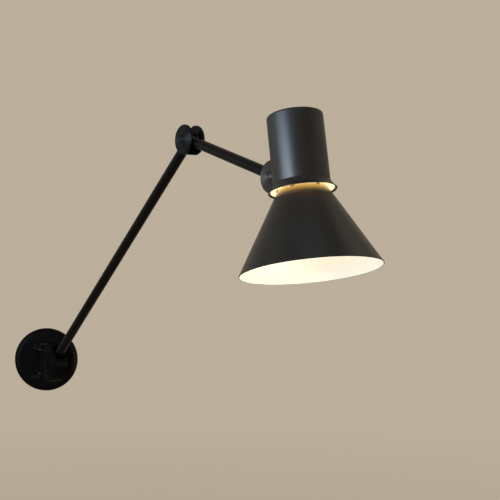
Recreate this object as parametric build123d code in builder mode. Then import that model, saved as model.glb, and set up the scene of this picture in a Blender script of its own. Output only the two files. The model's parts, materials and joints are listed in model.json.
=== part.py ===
"""Articulating wall lamp, in the pose it is used in.

The lamp is a wall rose with a swivel yoke, a lower arm, an upper arm and a head.
Four friction pivots join them: one upright at the wall and three level ones.

Frame: the origin is the centre of the rose on the wall, +Y goes into the wall,
+Z is up and the room is on the -Y side.
"""
from build123d import *
import os
from math import atan, cos, degrees, radians, sin

os.makedirs("parts", exist_ok=True)

# ---------------------------------------------------------------- driving dimensions
# Pose, degrees
swing = 36.4              # turn of the arms from the wall's normal towards +X
lower_tilt = 40.9         # slope of the lower arm above the horizontal
upper_tilt = -16.6        # slope of the upper arm
head_tilt = 13.15         # turn of the head from hanging plumb
head_side_tilt = -1.7     # sideways lean of the head in its seat

# Reach
lower_reach = 495.0       # base pivot to elbow pivot
upper_reach = 190.0       # elbow pivot to head pivot

# Running and fitting clearances
running_fit = 0.05        # radial, pin in bush
push_fit = 0.05           # radial, pieces that stay together
side_gap = 0.3            # between faces that move past each other

# Wall rose and bracket
rose_radius = 50.0
rose_depth = 12.0
rose_rim = 6.0            # straight part of the rose's side
rose_bevel = 10.0         # width of the rounded shoulder
rose_sheet = 1.5
bracket_radius = 42.0
bracket_sheet = 1.5
bracket_ear = 1.8
bracket_ear_width = 12.0
bracket_ear_depth = 7.0
bracket_ear_gap = 0.7
wall_slot_spacing = 60.0
wall_slot_length = 12.0
wall_slot_width = 4.6
wire_entry_radius = 12.0
cover_screw_radius = 1.5
cover_screw_depth = 3.5   # distance of the side screws from the wall
cover_screw_inset = 0.2   # screw's end under the rose's side
cover_screw_reach = 1.0   # screw's point beyond the bracket's ear
cover_screw_slot = 0.7    # depth of its driver slot
block_width = 26.0
block_height = 14.0
block_depth = 8.0
block_offset = 27.0
pole_pitch = 8.0
pole_screw_radius = 1.3
earth_offset = 30.0
earth_screw_radius = 2.0

# Swivel yoke on the rose
pan_offset = 28.0         # upright axis to the wall
yoke_width = 32.0
yoke_height = 54.0
yoke_lug = 7.7
yoke_back = 3.0
yoke_round = 1.5
stem_radius = 5.0
stem_bore = 3.0
stem_length = 7.5
stem_nut_flats = 17.0
stem_nut_height = 4.0
stem_washer_radius = 10.0
stem_washer_sheet = 1.2

# Base knuckle
knuckle_offset = 34.0     # upright axis to base pivot
barrel_radius = 12.5
bush_flange = 0.8
bush_wall = 2.0
bush_depth = 10.0
bush_flange_radius = 9.5
chamber_radius = 9.0
chamber_half_height = 8.0
window_half_height = 4.5
lug_relief = 3.2          # knuckle clear of the yoke's lugs
base_drum_radius = 28.0
base_bolt_radius = 4.0
base_bolt_head_radius = 7.0
base_eye_radius = 12.0
base_tube_start = 15.0
arm_lowest_angle = 34.0   # lowest slope that the base slot allows
arm_highest_angle = 92.0  # highest slope that the base slot allows

# Drum joints
drum_width = 22.0
drum_radius = 19.0
drum_crown = 1.6
drum_boss = 6.5           # flat middle of a drum's face
drum_edge = 1.8
slot_width = 15.0
washer_sheet = 0.7
bolt_radius = 3.0
bolt_head_radius = 5.5
bolt_head_height = 2.2
bolt_head_proud = 0.8
spring_height = 0.9
spring_sheet = 0.5
nut_height = 3.2
nut_skin = 1.4
eye_bush_wall = 1.2
washer_margin = 0.6       # washer edge inside the eye's edge
elbow_floor = 9.5
elbow_eye_radius = 9.0
elbow_tube_start = 11.0
head_floor = 7.2
head_eye_radius = 6.8

# Arm tubes
tube_radius = 6.6
tube_wall = 1.2
neck_trim = 0.1           # root's neck under the tube's size
spigot_length = 18.0
socket_engagement = 8.0
grub_radius = 1.5
grub_length = 3.0
cable_radius = 2.0
cable_clearance = 0.2
cable_rise = 8.0          # cable's crest above the nipple

# Head: upper housing and collar
housing_radius = 32.0
head_offset = 9.1         # head pivot to the housing's wall
housing_top = 60.6        # above the head pivot
housing_bottom = 18.0     # below the head pivot
housing_corner = 3.0
sheet = 1.2
collar_flare = 7.5        # collar's edge beyond the housing
collar_bottom = 27.8
collar_sag = 0.85
collar_sleeve = 7.5
saddle_thickness = 2.6
boss_radius = 6.0
boss_beyond_nut = 0.6
boss_nut_radius = 9.5
boss_nut_height = 2.5

# Head: cone
cone_radius = 80.0
cone_neck_inset = 8.0     # neck's edge inside the housing
cone_neck_drop = 18.4
cone_mouth_drop = 117.4
rivet_count = 6
rivet_first_angle = 2.0
rivet_drop = 25.0
rivet_radius = 1.5
rivet_head_radius = 2.7
rivet_head_height = 1.2
rivet_stand = 0.15        # inner heads off the curved band
carrier_sheet = 1.2
carrier_inset = 2.0       # carrier inside the cone's neck
carrier_drop = 3.5        # carrier's top under the head pivot
carrier_band_end = 27.5
carrier_window_width = 15.0
carrier_window_top = 6.5
carrier_window_bottom = 15.0

# Head: lampholder and bulb
strap_sheet = 1.5
strap_width = 18.0
strap_top = 28.0
strap_foot = 9.5
strap_overhang = 9.0
strap_wire_hole = 3.5
nipple_radius = 5.0
nipple_bore = 3.0
nipple_engagement = 6.0
nipple_stand = 5.0
nipple_nut_height = 3.0
nipple_nut_flats = 14.0
holder_radius = 13.5
holder_flange_radius = 16.5
holder_flange_height = 2.0
holder_thread_radius = 14.0
holder_mouth_drop = 23.0
holder_cavity_radius = 8.2
holder_cavity_depth = 24.0
holder_shoulder = 4.0
shade_ring_margin = 2.3   # shade ring's edge inside the carrier
shade_ring_height = 4.0
shell_sheet = 0.4
cap_radius = 6.9
cap_height = 17.0
cap_tip_radius = 3.0
cap_tip_height = 3.5
contact_width = 5.0
bulb_radius = 22.5
bulb_neck_radius = 7.6
bulb_centre_drop = 55.0
bulb_glass = 1.0

# ---------------------------------------------------------------- derived sizes
slot_half = slot_width / 2
eye_thickness = slot_width - 2 * (washer_sheet + side_gap)
drum_half = drum_width / 2
face_half = drum_half + drum_crown
head_seat = face_half - bolt_head_height + bolt_head_proud
spring_seat = head_seat + bolt_head_height - nut_height - spring_height
yoke_half = yoke_height / 2
lug_inside = yoke_half - yoke_lug
barrel_half = lug_inside - side_gap - bush_flange
pan_head_seat = yoke_half - bolt_head_height + bolt_head_proud
pan_spring_seat = pan_head_seat + bolt_head_height - nut_height - spring_height
tube_bore = tube_radius - tube_wall
spigot_radius = tube_bore - push_fit
cable_bore = cable_radius + cable_clearance
neck_radius = tube_radius - neck_trim
head_reach = housing_radius + head_offset
collar_radius = housing_radius + collar_flare
cone_neck_radius = housing_radius - cone_neck_inset
carrier_radius = cone_neck_radius - carrier_inset
shade_ring_radius = carrier_radius - carrier_sheet - shade_ring_margin
lower_tube_end = lower_reach - drum_radius + socket_engagement
cone_slope = (cone_radius - cone_neck_radius) / (cone_mouth_drop - cone_neck_drop)
cone_lean = degrees(atan(cone_slope))
cone_skin = sheet / cos(radians(cone_lean))
slot_side = tube_radius + side_gap

# ---------------------------------------------------------------- frames
up = Vector(0, 0, 1)
reach = Vector(sin(radians(swing)), -cos(radians(swing)), 0)
hinge = reach.cross(up)


def link_frame(origin, rise, lean=0.0):
    """X along a link in the arms' plane, Z along the level pivots."""
    along = reach * cos(radians(rise)) + up * sin(radians(rise))
    across = hinge.cross(along)
    normal = hinge * cos(radians(lean)) - across * sin(radians(lean))
    return Plane(origin=origin, x_dir=along, z_dir=normal)


def spot(frame, x, y=0.0, z=0.0):
    return frame.from_local_coords(Vector(x, y, z))


def slice_plane(frame):
    """The plane of a frame's X and Z, for profiles turned about either."""
    return Plane(origin=frame.origin, x_dir=frame.x_dir, z_dir=-frame.y_dir)


def end_plane(frame, x):
    """The plane square to a frame's X, at x."""
    return Plane(origin=spot(frame, x), x_dir=frame.y_dir, z_dir=frame.x_dir)


def level_plane(frame, y):
    """The plane square to a frame's Y, at y."""
    return Plane(origin=spot(frame, 0, y), x_dir=frame.x_dir, z_dir=frame.y_dir)


wall = Plane.XZ
pan_axis_point = Vector(0, -pan_offset, 0)
base_point = pan_axis_point + reach * knuckle_offset
base_frame = link_frame(base_point, 0)
lower_frame = link_frame(base_point, lower_tilt)
elbow_point = spot(lower_frame, lower_reach)
elbow_frame = link_frame(elbow_point, lower_tilt)
upper_frame = link_frame(elbow_point, upper_tilt)
head_point = spot(upper_frame, upper_reach)
tip_frame = link_frame(head_point, upper_tilt + 180)
head_joint_frame = link_frame(head_point, head_tilt)
head_frame = link_frame(head_point, head_tilt, head_side_tilt)
shade_frame = Plane(
    origin=spot(head_frame, head_reach), x_dir=head_frame.x_dir, z_dir=head_frame.z_dir
)
shade_axis = Axis(shade_frame.origin, shade_frame.y_dir)
pan_frame = Plane(origin=pan_axis_point, x_dir=reach, z_dir=up)


# ---------------------------------------------------------------- shared shapes
def turned(plane, axis, outline):
    """A solid turned about an axis from a closed outline of points."""
    with BuildPart() as piece:
        with BuildSketch(plane):
            with BuildLine():
                Polyline(*outline, close=True)
            make_face()
        revolve(axis=axis)
    return piece


def ring(plane, outer, inner, height):
    """A flat ring that stands on a plane."""
    with BuildPart() as piece:
        with BuildSketch(plane):
            Circle(outer)
            Circle(inner, mode=Mode.SUBTRACT)
        extrude(amount=height)
    return piece


def drum(frame, radius):
    """A joint drum with two gently coned faces and rounded edges, about the hinge."""
    flat = radius - drum_edge
    bend = drum_edge * sin(radians(45))
    with BuildPart() as piece:
        with BuildSketch(slice_plane(frame)):
            with BuildLine():
                Polyline((0, 0), (0, face_half), (drum_boss, face_half), (flat, drum_half))
                ThreePointArc(
                    (flat, drum_half),
                    (flat + bend, drum_half - drum_edge + bend),
                    (radius, drum_half - drum_edge),
                )
                Line((radius, drum_half - drum_edge), (radius, 0))
                Line((radius, 0), (0, 0))
            make_face()
        revolve(axis=Axis(frame.origin, frame.z_dir))
        mirror(about=frame)
    return piece


def bore_pivot(frame, shank, head, seat, sprung_seat, far):
    """Cuts a pivot's bore and the seats of its bolt head and nut into the open part."""
    with BuildSketch(frame) as bore:
        Circle(shank + push_fit)
    extrude(bore.sketch, amount=far, both=True, mode=Mode.SUBTRACT)
    with BuildSketch(frame.offset(seat)) as head_sink:
        Circle(head + side_gap)
    extrude(head_sink.sketch, amount=far, mode=Mode.SUBTRACT)
    with BuildSketch(frame.offset(-sprung_seat)) as nut_sink:
        Circle(head + side_gap)
    extrude(nut_sink.sketch, amount=-far, mode=Mode.SUBTRACT)


def pivot_bolt(frame, shank, head, seat, sprung_seat):
    """A bolt with a plain round head, from its head seat into its nut."""
    top = seat + bolt_head_height
    tip = -(sprung_seat + spring_height + nut_height - nut_skin)
    edge = bolt_head_height / 3
    outline = [
        (0, tip),
        (shank, tip),
        (shank, seat),
        (head, seat),
        (head, top - edge),
        (head - edge, top),
        (0, top),
    ]
    return turned(slice_plane(frame), Axis(frame.origin, frame.z_dir), outline)


def pivot_nut(frame, shank, head, sprung_seat):
    """A blind round nut with a driver slot."""
    inside = -(sprung_seat + spring_height)
    outside = inside - nut_height
    edge = bolt_head_height / 3
    depth = inside - nut_height + nut_skin - push_fit
    outline = [
        (0, depth),
        (shank + push_fit, depth),
        (shank + push_fit, inside),
        (head, inside),
        (head, outside + edge),
        (head - edge, outside),
        (0, outside),
    ]
    with BuildPart() as piece:
        add(turned(slice_plane(frame), Axis(frame.origin, frame.z_dir), outline).part)
        with BuildSketch(frame.offset(outside)):
            Rectangle(2.5 * head, edge)
        extrude(amount=nut_skin / 2, mode=Mode.SUBTRACT)
    return piece


def disc_spring(frame, shank, head, sprung_seat):
    """The coned spring washer that keeps a pivot tight."""
    bottom = -sprung_seat
    rise = spring_height - spring_sheet
    inner = shank + 2 * push_fit
    outline = [
        (inner, bottom - rise),
        (inner, bottom - spring_height),
        (head, bottom - spring_sheet),
        (head, bottom),
    ]
    return turned(slice_plane(frame), Axis(frame.origin, frame.z_dir), outline)


def friction_washers(frame, shank, eye):
    """Two washers on the cheeks' inner faces."""
    with BuildPart() as piece:
        with BuildSketch(frame.offset(slot_half - washer_sheet)):
            Circle(eye - washer_margin)
            Circle(shank + 2 * push_fit, mode=Mode.SUBTRACT)
        extrude(amount=washer_sheet)
        mirror(about=frame)
    return piece


def eye_bush(frame, shank):
    """The bush in an eye, in which the bolt turns."""
    with BuildPart() as piece:
        with BuildSketch(frame):
            Circle(shank + eye_bush_wall)
            Circle(shank + running_fit, mode=Mode.SUBTRACT)
        extrude(amount=eye_thickness / 2, both=True)
    return piece


def arm_end(frame, shank, eye, tube_start):
    """An eye with a neck and the spigot that the tube is pushed over."""
    with BuildPart() as piece:
        with BuildSketch(frame):
            Circle(eye)
        extrude(amount=eye_thickness / 2, both=True)
        with BuildSketch(end_plane(frame, 0)):
            Circle(neck_radius)
        extrude(amount=tube_start)
        with BuildSketch(end_plane(frame, tube_start)):
            Circle(spigot_radius)
        extrude(amount=spigot_length)
        with BuildSketch(frame):
            Circle(shank + eye_bush_wall + push_fit)
        extrude(amount=slot_width, both=True, mode=Mode.SUBTRACT)
        with BuildSketch(end_plane(frame, shank + eye_bush_wall)):
            Circle(cable_bore)
        extrude(amount=tube_start + spigot_length, mode=Mode.SUBTRACT)
        grub_hole(frame, tube_start + spigot_length / 2, spigot_radius + grub_length)
    return piece


def grub_hole(frame, x, far):
    """Cuts a grub screw's hole into the open part, on the arm's under side."""
    with BuildSketch(level_plane(frame, 0)) as hole:
        with Locations((x, 0)):
            Circle(grub_radius + push_fit)
    extrude(hole.sketch, amount=-far, mode=Mode.SUBTRACT)


def grub_screws(places):
    """Grub screws at (frame, x, outer radius), with their driver slots."""
    with BuildPart() as piece:
        for frame, x, outside in places:
            with BuildSketch(level_plane(frame, -outside + grub_length)):
                with Locations((x, 0)):
                    Circle(grub_radius)
            extrude(amount=-grub_length)
            with BuildSketch(level_plane(frame, -outside)):
                with Locations((x, 0)):
                    Rectangle(3 * grub_radius, grub_radius / 3)
            extrude(amount=grub_length / 4, mode=Mode.SUBTRACT)
    return piece


def rod(frame, radius, start, end):
    """A round bar along a frame's X."""
    with BuildPart() as piece:
        with BuildSketch(end_plane(frame, start)):
            Circle(radius)
        extrude(amount=end - start)
    return piece


def tube(frame, start, end, grubs):
    """An arm tube with holes for its grub screws."""
    with BuildPart() as piece:
        with BuildSketch(end_plane(frame, start)):
            Circle(tube_radius)
            Circle(tube_bore, mode=Mode.SUBTRACT)
        extrude(amount=end - start)
        for x in grubs:
            grub_hole(frame, x, tube_radius + side_gap)
    return piece


def export(piece, name):
    piece.part.label = name
    export_step(piece.part, f"parts/{name}.step")


# ---------------------------------------------------------------- wall rose and bracket
with BuildPart() as wall_bracket:
    ear_outside = rose_radius - rose_sheet - bracket_ear_gap
    with BuildSketch(wall):
        Circle(bracket_radius)
        Rectangle(2 * ear_outside, bracket_ear_width)
        Circle(wire_entry_radius, mode=Mode.SUBTRACT)
        with Locations((-wall_slot_spacing / 2, 0), (wall_slot_spacing / 2, 0)):
            SlotOverall(wall_slot_length, wall_slot_width, mode=Mode.SUBTRACT)
        with Locations((0, -earth_offset)):
            Circle(earth_screw_radius + push_fit, mode=Mode.SUBTRACT)
    extrude(amount=bracket_sheet)
    with BuildSketch(wall):
        ear_middle = ear_outside - bracket_ear / 2
        with Locations((-ear_middle, 0), (ear_middle, 0)):
            Rectangle(bracket_ear, bracket_ear_width)
    extrude(amount=bracket_ear_depth)
    with BuildSketch(Plane.YZ):
        with Locations((-cover_screw_depth, 0)):
            Circle(cover_screw_radius + push_fit)
    extrude(amount=rose_radius, both=True, mode=Mode.SUBTRACT)

with BuildPart() as wall_rose:
    shoulder = rose_radius - rose_bevel
    with BuildSketch(slice_plane(wall)):
        with BuildLine():
            Line((rose_radius, 0), (rose_radius, rose_rim))
            EllipticalCenterArc((shoulder, rose_rim), rose_bevel, rose_depth - rose_rim, arc_size=90)
            Line((shoulder, rose_depth), (stem_radius + push_fit, rose_depth))
            Line((stem_radius + push_fit, rose_depth), (stem_radius + push_fit, rose_depth - rose_sheet))
            Line((stem_radius + push_fit, rose_depth - rose_sheet), (shoulder, rose_depth - rose_sheet))
            EllipticalCenterArc(
                (shoulder, rose_rim),
                rose_bevel - rose_sheet,
                rose_depth - rose_rim - rose_sheet,
                arc_size=90,
            )
            Line((rose_radius - rose_sheet, rose_rim), (rose_radius - rose_sheet, 0))
            Line((rose_radius - rose_sheet, 0), (rose_radius, 0))
        make_face()
    revolve(axis=Axis.Y)
    with BuildSketch(Plane.YZ):
        with Locations((-cover_screw_depth, 0)):
            Circle(cover_screw_radius + push_fit)
    extrude(amount=2 * rose_radius, both=True, mode=Mode.SUBTRACT)

with BuildPart() as cover_screws:
    screw_end = ear_outside - bracket_ear - cover_screw_reach
    screw_length = rose_radius - cover_screw_inset - screw_end
    for side in (1, -1):
        screw_plane = Plane(
            origin=(side * screw_end, -cover_screw_depth, 0), x_dir=(0, 1, 0), z_dir=(side, 0, 0)
        )
        with BuildSketch(screw_plane):
            Circle(cover_screw_radius)
        extrude(amount=screw_length)
        with BuildSketch(screw_plane.offset(screw_length)):
            Rectangle(3 * cover_screw_radius, cover_screw_radius / 3)
        extrude(amount=-cover_screw_slot, mode=Mode.SUBTRACT)

pole_places = [
    (x * pole_pitch, block_offset + side * block_height / 4) for x in (-1, 0, 1) for side in (-1, 1)
]

with BuildPart() as terminal_block:
    with BuildSketch(wall.offset(bracket_sheet)):
        with Locations((0, block_offset)):
            RectangleRounded(block_width, block_height, 1.0)
    extrude(amount=block_depth)
    with BuildSketch(wall.offset(bracket_sheet + block_depth)):
        with Locations(*pole_places):
            Circle(pole_screw_radius + push_fit)
    extrude(amount=-block_depth / 2, mode=Mode.SUBTRACT)
    with BuildSketch(Plane.XY.offset(block_offset - block_height)):
        with Locations(*[(x * pole_pitch, -bracket_sheet - block_depth / 2.6) for x in (-1, 0, 1)]):
            Circle(pole_screw_radius)
    extrude(amount=2 * block_height, mode=Mode.SUBTRACT)

with BuildPart() as terminal_screws:
    with BuildSketch(wall.offset(bracket_sheet + block_depth / 2)):
        with Locations(*pole_places):
            Circle(pole_screw_radius)
    extrude(amount=block_depth / 2 - side_gap)

with BuildPart() as earth_screw:
    with BuildSketch(wall.offset(side_gap)):
        with Locations((0, -earth_offset)):
            Circle(earth_screw_radius)
    extrude(amount=bracket_sheet + block_depth / 2)
    with BuildSketch(wall.offset(2 * bracket_sheet)):
        with Locations((0, -earth_offset)):
            Circle(1.9 * earth_screw_radius)
    extrude(amount=earth_screw_radius + side_gap, taper=10)

with BuildPart() as earth_washer:
    with BuildSketch(wall.offset(bracket_sheet)):
        with Locations((0, -earth_offset)):
            Circle(2.4 * earth_screw_radius)
            Circle(earth_screw_radius + push_fit, mode=Mode.SUBTRACT)
    extrude(amount=bracket_sheet)

# ---------------------------------------------------------------- swivel yoke
with BuildPart() as pan_yoke:
    lug_radius = yoke_width / 2
    for start in (lug_inside, -yoke_half):
        with BuildSketch(Plane.XY.offset(start)):
            with Locations((0, -pan_offset)):
                Circle(lug_radius)
            with Locations((0, -(pan_offset + rose_depth) / 2)):
                Rectangle(yoke_width, pan_offset - rose_depth)
        extrude(amount=yoke_lug)
    with BuildSketch(wall.offset(rose_depth)):
        Rectangle(yoke_width, yoke_height)
    extrude(amount=yoke_back)
    outer_faces = pan_yoke.faces().sort_by(Axis.Z)
    chamfer(outer_faces[-1].edges().filter_by(GeomType.CIRCLE), yoke_round)
    chamfer(pan_yoke.faces().sort_by(Axis.Z)[0].edges().filter_by(GeomType.CIRCLE), yoke_round)
    with BuildSketch(wall.offset(rose_depth - stem_length)):
        Circle(stem_radius)
    extrude(amount=stem_length)
    with BuildSketch(wall):
        Circle(stem_bore)
    extrude(amount=pan_offset, mode=Mode.SUBTRACT)
    bore_pivot(
        pan_frame, base_bolt_radius, base_bolt_head_radius, pan_head_seat, pan_spring_seat, yoke_height
    )

stem_washer = ring(
    wall.offset(rose_depth - rose_sheet - stem_washer_sheet),
    stem_washer_radius,
    stem_radius + push_fit,
    stem_washer_sheet,
)

with BuildPart() as stem_nut:
    with BuildSketch(wall.offset(rose_depth - rose_sheet - stem_washer_sheet - stem_nut_height)):
        RegularPolygon(stem_nut_flats / 2, 6, major_radius=False)
        Circle(stem_radius + push_fit, mode=Mode.SUBTRACT)
    extrude(amount=stem_nut_height)

pan_bolt = pivot_bolt(
    pan_frame, base_bolt_radius, base_bolt_head_radius, pan_head_seat, pan_spring_seat
)
pan_nut = pivot_nut(pan_frame, base_bolt_radius, base_bolt_head_radius, pan_spring_seat)
pan_disc_spring = disc_spring(pan_frame, base_bolt_radius, base_bolt_head_radius, pan_spring_seat)

# ---------------------------------------------------------------- base knuckle
bush_radius = base_bolt_radius + bush_wall


def slot_sides(lowest, highest, half, far):
    """The outline that a bar of a given half width sweeps between two slopes."""
    low = radians(lowest)
    high = radians(highest)
    middle = (low + high) / 2
    low_root = (half * sin(low), -half * cos(low))
    high_root = (-half * sin(high), half * cos(high))
    return [
        low_root,
        (low_root[0] + far * cos(low), low_root[1] + far * sin(low)),
        (2 * far * cos(middle), 2 * far * sin(middle)),
        (high_root[0] + far * cos(high), high_root[1] + far * sin(high)),
        high_root,
    ]


with BuildPart() as base_knuckle:
    add(drum(base_frame, base_drum_radius).part)
    lug_clear = yoke_width / 2 + lug_relief
    for start, length in ((barrel_half, base_drum_radius), (-barrel_half, -base_drum_radius)):
        with BuildSketch(pan_frame.offset(start)):
            Circle(lug_clear)
        extrude(amount=length, mode=Mode.SUBTRACT)
    with BuildSketch(pan_frame):
        Circle(barrel_radius)
    extrude(amount=barrel_half, both=True)
    with BuildSketch(pan_frame):
        Circle(bush_radius + push_fit)
    extrude(amount=barrel_half, both=True, mode=Mode.SUBTRACT)
    with BuildSketch(pan_frame):
        Circle(chamber_radius)
    extrude(amount=chamber_half_height, both=True, mode=Mode.SUBTRACT)
    with BuildSketch(base_frame):
        with Locations((-knuckle_offset - barrel_radius / 2, 0)):
            Rectangle(barrel_radius, 2 * window_half_height)
    extrude(amount=barrel_radius, both=True, mode=Mode.SUBTRACT)
    with BuildSketch(end_plane(base_frame, -knuckle_offset)):
        Circle(cable_bore)
    extrude(amount=knuckle_offset, mode=Mode.SUBTRACT)
    with BuildSketch(base_frame):
        Circle(base_eye_radius + side_gap)
        with BuildLine():
            Polyline(
                *slot_sides(arm_lowest_angle, arm_highest_angle, slot_side, 1.5 * base_drum_radius),
                close=True,
            )
        make_face()
    extrude(amount=slot_half, both=True, mode=Mode.SUBTRACT)
    bore_pivot(
        base_frame, base_bolt_radius, base_bolt_head_radius, head_seat, spring_seat, drum_width
    )

with BuildPart() as pan_bushes:
    for start, turn in ((barrel_half - bush_depth, 1), (bush_depth - barrel_half, -1)):
        with BuildSketch(pan_frame.offset(start)):
            Circle(bush_radius)
            Circle(base_bolt_radius + running_fit, mode=Mode.SUBTRACT)
        extrude(amount=turn * bush_depth)
        with BuildSketch(pan_frame.offset(turn * barrel_half)):
            Circle(bush_flange_radius)
            Circle(base_bolt_radius + running_fit, mode=Mode.SUBTRACT)
        extrude(amount=turn * bush_flange)

base_bolt = pivot_bolt(
    base_frame, base_bolt_radius, base_bolt_head_radius, head_seat, spring_seat
)
base_nut = pivot_nut(base_frame, base_bolt_radius, base_bolt_head_radius, spring_seat)
base_disc_spring = disc_spring(base_frame, base_bolt_radius, base_bolt_head_radius, spring_seat)
base_friction_washers = friction_washers(base_frame, base_bolt_radius, base_eye_radius)

# ---------------------------------------------------------------- lower arm
root_grub = base_tube_start + spigot_length / 2
socket_grub = lower_reach - drum_radius + socket_engagement / 2

lower_arm_root = arm_end(lower_frame, base_bolt_radius, base_eye_radius, base_tube_start)
lower_eye_bush = eye_bush(lower_frame, base_bolt_radius)
lower_tube = tube(lower_frame, base_tube_start, lower_tube_end, [root_grub, socket_grub])

with BuildPart() as elbow_knuckle:
    add(drum(elbow_frame, drum_radius).part)
    with BuildSketch(elbow_frame):
        with Locations((drum_radius - elbow_floor, 0)):
            Rectangle(2 * drum_radius, 3 * drum_radius)
    extrude(amount=slot_half, both=True, mode=Mode.SUBTRACT)
    with BuildSketch(end_plane(elbow_frame, -2 * drum_radius)):
        Circle(tube_radius + push_fit)
    extrude(amount=drum_radius + socket_engagement, mode=Mode.SUBTRACT)
    with BuildSketch(end_plane(elbow_frame, -drum_radius)):
        Circle(cable_bore)
    extrude(amount=drum_radius, mode=Mode.SUBTRACT)
    grub_hole(lower_frame, socket_grub, drum_radius)
    bore_pivot(elbow_frame, bolt_radius, bolt_head_radius, head_seat, spring_seat, drum_width)

elbow_bolt = pivot_bolt(elbow_frame, bolt_radius, bolt_head_radius, head_seat, spring_seat)
elbow_nut = pivot_nut(elbow_frame, bolt_radius, bolt_head_radius, spring_seat)
elbow_disc_spring = disc_spring(elbow_frame, bolt_radius, bolt_head_radius, spring_seat)
elbow_friction_washers = friction_washers(elbow_frame, bolt_radius, elbow_eye_radius)

socket_grub_outside = tube_radius - tube_wall / 2 + grub_length
lower_grub_screws = grub_screws(
    [
        (lower_frame, root_grub, tube_radius - push_fit),
        (lower_frame, socket_grub, socket_grub_outside),
    ]
)
lower_cable = rod(
    lower_frame, cable_radius, base_bolt_radius + eye_bush_wall + 1.0, lower_reach - elbow_floor
)

# ---------------------------------------------------------------- upper arm
upper_tube_end = upper_reach - elbow_tube_start
upper_grubs = [
    elbow_tube_start + spigot_length / 2,
    upper_reach - elbow_tube_start - spigot_length / 2,
]
upper_arm_root = arm_end(upper_frame, bolt_radius, elbow_eye_radius, elbow_tube_start)
upper_root_bush = eye_bush(upper_frame, bolt_radius)
upper_tube = tube(upper_frame, elbow_tube_start, upper_tube_end, upper_grubs)
upper_arm_tip = arm_end(
    Plane(origin=head_point, x_dir=-upper_frame.x_dir, z_dir=-upper_frame.z_dir),
    bolt_radius,
    head_eye_radius,
    elbow_tube_start,
)
upper_tip_bush = eye_bush(tip_frame, bolt_radius)
upper_grub_screws = grub_screws([(upper_frame, x, tube_radius - push_fit) for x in upper_grubs])
cable_margin = bolt_radius + eye_bush_wall + 1.0
upper_cable = rod(upper_frame, cable_radius, cable_margin, upper_reach - cable_margin)

# ---------------------------------------------------------------- head knuckle
saddle_outside = head_reach - housing_radius
saddle_inside = saddle_outside + sheet
strap_start = saddle_inside + saddle_thickness
boss_end = strap_start + strap_sheet + boss_nut_height + boss_beyond_nut

with BuildPart() as head_knuckle:
    add(drum(head_joint_frame, drum_radius).part)
    with BuildSketch(level_plane(shade_frame, 0)):
        Circle(housing_radius + push_fit)
    extrude(amount=2 * drum_radius, both=True, mode=Mode.SUBTRACT)
    with BuildSketch(end_plane(head_frame, saddle_outside - push_fit)):
        Circle(boss_radius)
    extrude(amount=boss_end - saddle_outside)
    with BuildSketch(end_plane(head_frame, head_floor)):
        Circle(boss_radius)
    extrude(amount=saddle_outside - head_floor)
    with BuildSketch(head_joint_frame):
        with Locations((head_floor - drum_radius, 0)):
            Rectangle(2 * drum_radius, 3 * drum_radius)
    extrude(amount=slot_half, both=True, mode=Mode.SUBTRACT)
    with BuildSketch(end_plane(head_frame, 0)):
        Circle(cable_bore)
    extrude(amount=2 * drum_radius, mode=Mode.SUBTRACT)
    bore_pivot(
        head_joint_frame, bolt_radius, bolt_head_radius, head_seat, spring_seat, drum_width
    )

head_bolt = pivot_bolt(head_joint_frame, bolt_radius, bolt_head_radius, head_seat, spring_seat)
head_nut = pivot_nut(head_joint_frame, bolt_radius, bolt_head_radius, spring_seat)
head_disc_spring = disc_spring(head_joint_frame, bolt_radius, bolt_head_radius, spring_seat)
head_friction_washers = friction_washers(head_joint_frame, bolt_radius, head_eye_radius)

with BuildPart() as saddle_washer:
    with BuildSketch(end_plane(head_frame, saddle_outside)):
        Circle(boss_nut_radius)
        Circle(boss_radius + push_fit, mode=Mode.SUBTRACT)
    extrude(amount=strap_start - saddle_outside)
    with BuildSketch(level_plane(shade_frame, 0)):
        Circle(housing_radius - sheet - push_fit)
    extrude(amount=2 * drum_radius, both=True, mode=Mode.INTERSECT)

with BuildPart() as boss_nut:
    with BuildSketch(end_plane(head_frame, strap_start + strap_sheet)):
        RegularPolygon(boss_nut_radius, 6)
        Circle(boss_radius + push_fit, mode=Mode.SUBTRACT)
    extrude(amount=boss_nut_height)

# ---------------------------------------------------------------- housing, collar and cone
with BuildPart() as upper_housing:
    inside = housing_radius - sheet
    with BuildSketch(shade_frame):
        with BuildLine():
            Polyline(
                (inside, -housing_bottom),
                (housing_radius, -housing_bottom),
                (housing_radius, housing_top - housing_corner),
            )
            RadiusArc(
                (housing_radius, housing_top - housing_corner),
                (housing_radius - housing_corner, housing_top),
                -housing_corner,
            )
            Polyline(
                (housing_radius - housing_corner, housing_top),
                (0, housing_top),
                (0, housing_top - sheet),
                (housing_radius - housing_corner, housing_top - sheet),
            )
            RadiusArc(
                (housing_radius - housing_corner, housing_top - sheet),
                (inside, housing_top - housing_corner),
                housing_corner - sheet,
            )
            Line((inside, housing_top - housing_corner), (inside, -housing_bottom))
        make_face()
    revolve(axis=shade_axis)
    with BuildSketch(end_plane(head_frame, 0)):
        Circle(boss_radius + push_fit)
    extrude(amount=head_reach, mode=Mode.SUBTRACT)

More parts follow.
